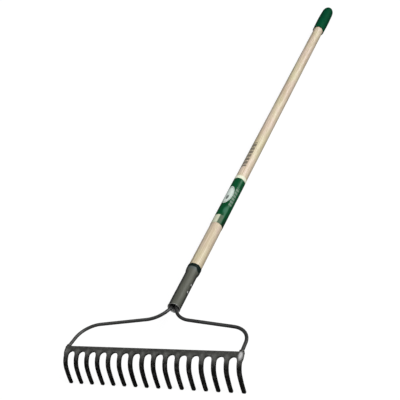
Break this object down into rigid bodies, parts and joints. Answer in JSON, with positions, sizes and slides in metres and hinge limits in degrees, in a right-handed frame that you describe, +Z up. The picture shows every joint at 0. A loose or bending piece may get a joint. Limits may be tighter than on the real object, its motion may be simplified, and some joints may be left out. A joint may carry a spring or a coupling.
{
  "type": "bow rake",
  "caption": "Long-handled garden rake: a steel comb of curved tines on a two-rod bow, with a steel ferrule, a turned ash handle, a printed wrap and a domed vinyl grip.",
  "frame": {"origin": "middle of the tine bar's flat upper face", "axes": "+Y runs up the handle towards the grip, +Z is up with the tines pointing down, X runs across the head"},
  "size_m": [0.3936, 1.5393, 0.0727],
  "materials": {
    "head_steel": "charcoal enamel over forged steel, satin, rubbed along its edges and tips",
    "bow_steel": "charcoal enamel, satin",
    "weld_metal": "rippled weld bead under thin enamel",
    "ferrule_steel": "grey enamel, satin",
    "rivet_steel": "zinc-plated, dull",
    "ash": "clear lacquer over straight-grained ash",
    "label_print": "printed film wrap, gloss",
    "grip_vinyl": "dipped vinyl, satin"
  },
  "bodies": {
    "root": {"tine_comb": "head_steel", "bow_arm_left": "bow_steel", "bow_arm_right": "bow_steel", "bow_weld_left": "weld_metal", "bow_weld_right": "weld_metal", "ferrule": "ferrule_steel", "ferrule_rivet_lower": "rivet_steel", "ferrule_rivet_upper": "rivet_steel", "handle": "ash", "handle_label": "label_print", "end_grip": "grip_vinyl"}
  },
  "joints": []
}
